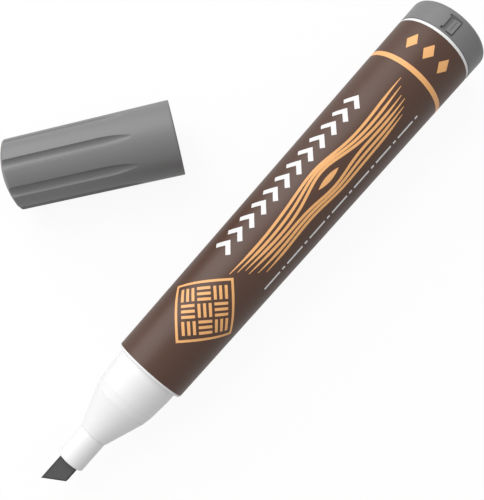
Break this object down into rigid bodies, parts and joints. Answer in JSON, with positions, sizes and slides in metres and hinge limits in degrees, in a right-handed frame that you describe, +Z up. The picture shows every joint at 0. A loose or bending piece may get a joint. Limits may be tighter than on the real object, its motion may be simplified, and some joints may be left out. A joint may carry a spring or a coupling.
{
  "type": "chisel-tip wood repair marker",
  "caption": "Chisel-tip wood repair marker with a tapered barrel and a brown printed label, lying beside its fluted grey cap.",
  "frame": {"origin": "on the table, under the middle of the whole object's box, pen and cap together", "axes": "+X along the pen from the nib to the plug, +Z up from the table, +Y from the pen towards the cap"},
  "size_m": [0.1252, 0.0636, 0.0186],
  "materials": {
    "nib_felt": "rough felt, edges rubbed darker",
    "white_plastic": "smooth, slight sheen",
    "brown_film": "satin printed film",
    "orange_ink": "satin printed ink",
    "reservoir_fibre": "fibre soaked with dye",
    "clear_film": "thin clear film",
    "grey_plastic": "satin, fine mould texture",
    "natural_plastic": "waxy, unpigmented"
  },
  "bodies": {
    "pen": {"nib": "nib_felt", "nose_section": "white_plastic", "barrel": "white_plastic", "label_film": "brown_film", "label_stripe": "orange_ink", "ink_reservoir": "reservoir_fibre", "reservoir_wrap": "clear_film", "end_plug": "grey_plastic"},
    "cap": {"cap_shell": "grey_plastic", "cap_liner": "natural_plastic"}
  },
  "joints": [
    {"name": "cap_pull", "type": "slide", "parent": "pen", "child": "cap", "axis": [-0.8161, 0.5779, 0], "range_m": [0, 0.02965]}
  ]
}
